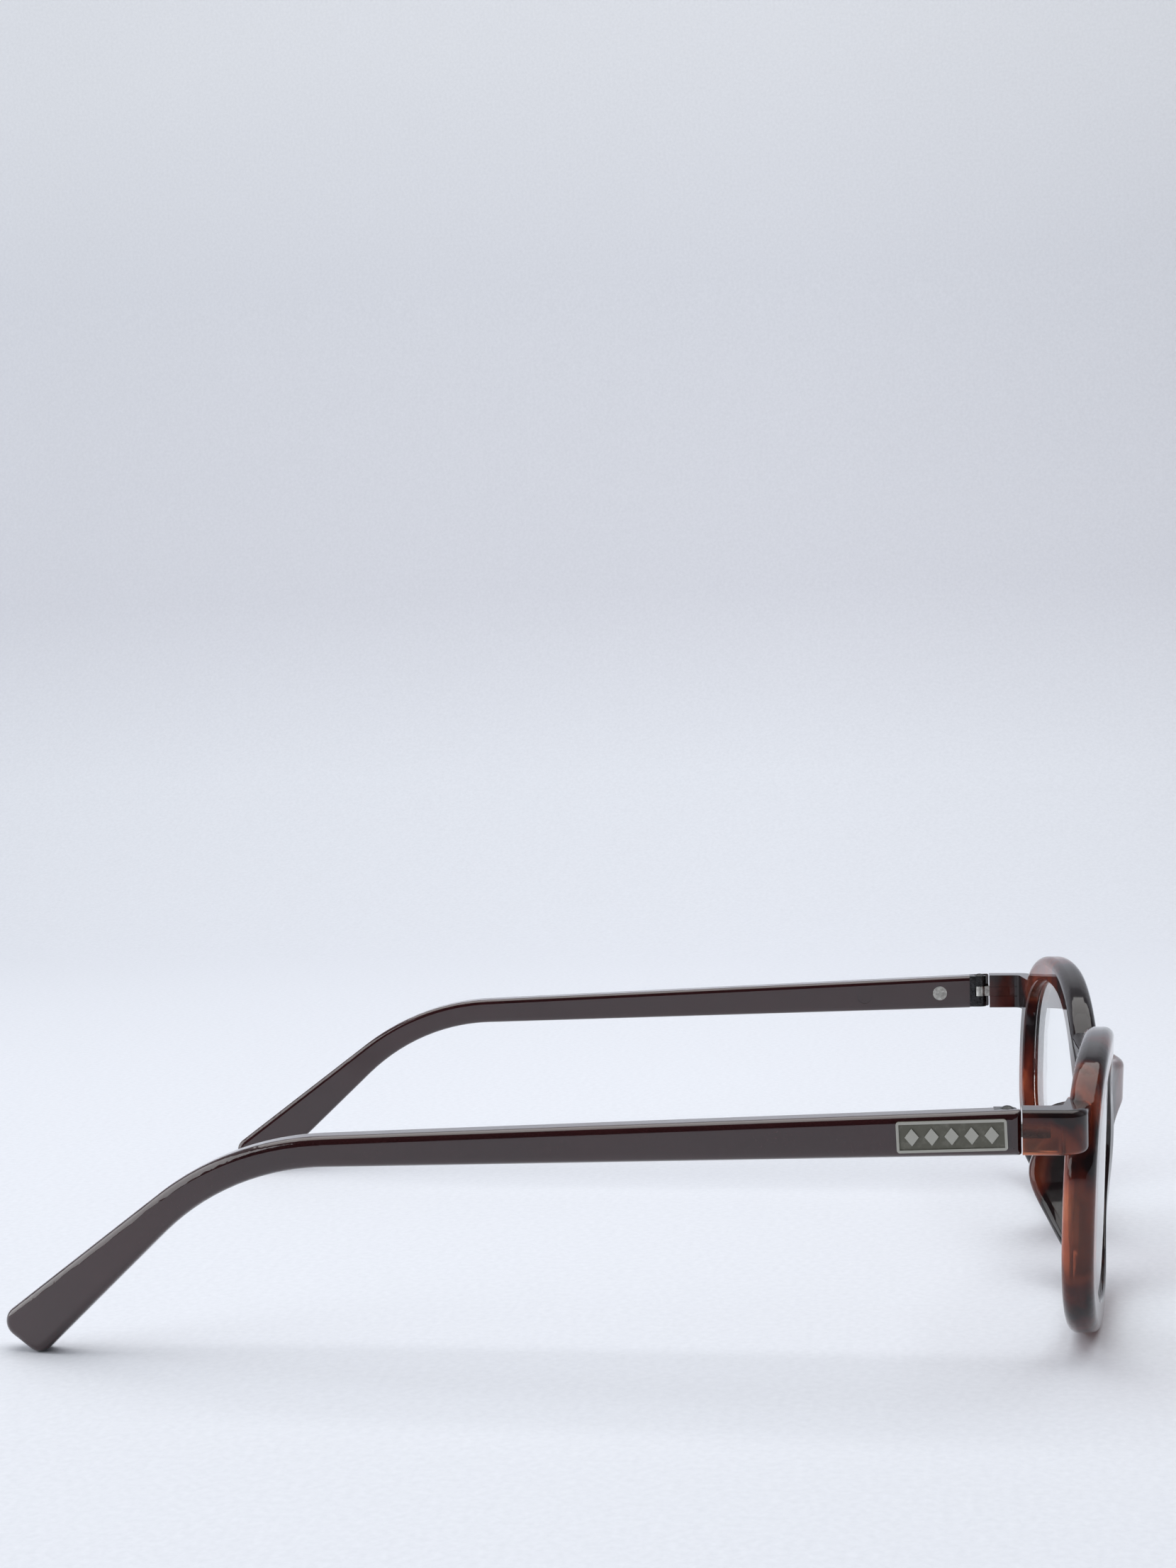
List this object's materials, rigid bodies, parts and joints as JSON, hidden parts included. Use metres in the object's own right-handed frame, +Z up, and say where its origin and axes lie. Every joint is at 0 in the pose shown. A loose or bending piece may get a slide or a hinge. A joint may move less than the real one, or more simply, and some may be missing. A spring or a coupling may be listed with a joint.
{
  "type": "eyeglasses",
  "caption": "Full-rim moulded plastic eyeglasses with a curved front, saddle bridge with nose pads, clear lenses, folding drop-end temples and inset temple plates.",
  "frame": {"origin": "middle of the footprint, on the surface that the rims and the temple tips stand on", "axes": "+Z up, -Y the way the wearer faces, +X to the wearer's left, so the object is mirrored about X = 0"},
  "size_m": [0.1358, 0.1566, 0.0408],
  "materials": {
    "front_plastic": "glossy translucent amber tortoise",
    "temple_plastic": "glossy opaque burgundy",
    "lens_clear": "clear polished",
    "hinge_dark": "black plated",
    "hinge_bright": "satin nickel",
    "badge_pewter": "antiqued pewter"
  },
  "bodies": {
    "front": {"front_frame": "front_plastic", "lens_right": "lens_clear", "lens_left": "lens_clear", "front_hinge_leaf_right": "hinge_bright", "front_hinge_leaf_left": "hinge_bright"},
    "temple_arm_right": {"temple_right": "temple_plastic", "temple_hinge_leaf_right": "hinge_dark", "hinge_screw_right": "hinge_bright", "badge_right": "badge_pewter", "badge_rivet_right": "hinge_bright"},
    "temple_arm_left": {"temple_left": "temple_plastic", "temple_hinge_leaf_left": "hinge_dark", "hinge_screw_left": "hinge_bright", "badge_left": "badge_pewter", "badge_rivet_left": "hinge_bright"}
  },
  "joints": [
    {"name": "temple_right_fold", "type": "hinge", "parent": "front", "child": "temple_arm_right", "pos_m": [-0.06463, -0.05824, 0.03211], "axis": [0, 0, -1], "range_deg": [0, 90]},
    {"name": "temple_left_fold", "type": "hinge", "parent": "front", "child": "temple_arm_left", "pos_m": [0.06463, -0.05824, 0.03211], "axis": [0, 0, 1], "range_deg": [0, 80]}
  ]
}
